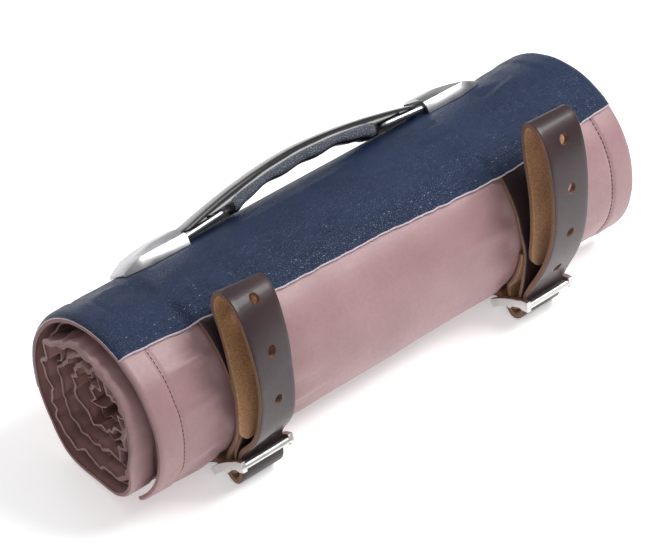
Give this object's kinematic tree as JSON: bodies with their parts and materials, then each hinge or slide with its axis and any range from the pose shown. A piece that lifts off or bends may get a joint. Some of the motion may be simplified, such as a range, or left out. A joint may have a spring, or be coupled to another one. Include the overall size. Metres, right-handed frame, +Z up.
{
  "type": "leather tool roll",
  "caption": "Rolled-up leather roll for carving tools, closed by buckled straps with folded ends, with a lifting carry handle on a dark panel.",
  "frame": {"origin": "middle of the footprint on the surface that the roll rests on", "axes": "+X along the roll to its right end, -Y to the front where the buckles are, +Z up"},
  "size_m": [0.305, 0.1152, 0.1152],
  "materials": {
    "cover_leather": "smooth satin, softly wrinkled",
    "lining_leather": "matte, finely creased",
    "panel_leather": "fine grain, satin",
    "strap_leather": "oiled grain side, suede flesh side, raw edges",
    "nickel": "polished nickel plate",
    "chrome": "bright chrome plate",
    "grip_plastic": "smooth, semi-gloss",
    "grip_pad": "moulded leather grain",
    "steel": "zinc plated"
  },
  "bodies": {
    "root": {"cover_panel": "cover_leather", "pocket_lining": "lining_leather", "tool_flap": "lining_leather", "handle_panel": "panel_leather", "strap_left": "strap_leather", "strap_right": "strap_leather", "chape_left": "strap_leather", "chape_right": "strap_leather", "chape_rivets": "nickel", "buckle_left": "nickel", "buckle_right": "nickel", "handle_cap_left": "chrome", "handle_cap_right": "chrome", "cap_screws": "steel", "backing_plate_left": "steel", "backing_plate_right": "steel"},
    "grip": {"grip_shell": "grip_plastic", "grip_pad_front": "grip_pad", "grip_pad_back": "grip_pad"},
    "link_left": {"handle_link_left": "chrome"},
    "link_right": {"handle_link_right": "chrome"},
    "prong_left": {"prong_left": "nickel"},
    "prong_right": {"prong_right": "nickel"}
  },
  "joints": [
    {"name": "grip_lift", "type": "slide", "parent": "root", "child": "grip", "axis": [0, 0.6157, 0.788], "range_m": [0, 0.01397]},
    {"name": "link_left_swing", "type": "hinge", "parent": "root", "child": "link_left", "pos_m": [-0.079, 0.04028, 0.08414], "axis": [0, -0.788, 0.6157], "range_deg": [0, 30.73]},
    {"name": "link_right_swing", "type": "hinge", "parent": "root", "child": "link_right", "pos_m": [0.079, 0.04028, 0.08414], "axis": [0, 0.788, -0.6157], "range_deg": [0, 30.73]},
    {"name": "prong_left_swing", "type": "hinge", "parent": "root", "child": "prong_left", "pos_m": [-0.096, -0.03434, 0.01157], "axis": [-1, 0, 0], "range_deg": [0, 6]},
    {"name": "prong_right_swing", "type": "hinge", "parent": "root", "child": "prong_right", "pos_m": [0.086, -0.0356, 0.00955], "axis": [-1, 0, 0], "range_deg": [0, 6]}
  ],
  "couplings": [
    {"joint": "link_left_swing", "follows": "grip_lift", "rad_per_m": 38.333},
    {"joint": "link_right_swing", "follows": "grip_lift", "rad_per_m": 38.333}
  ]
}
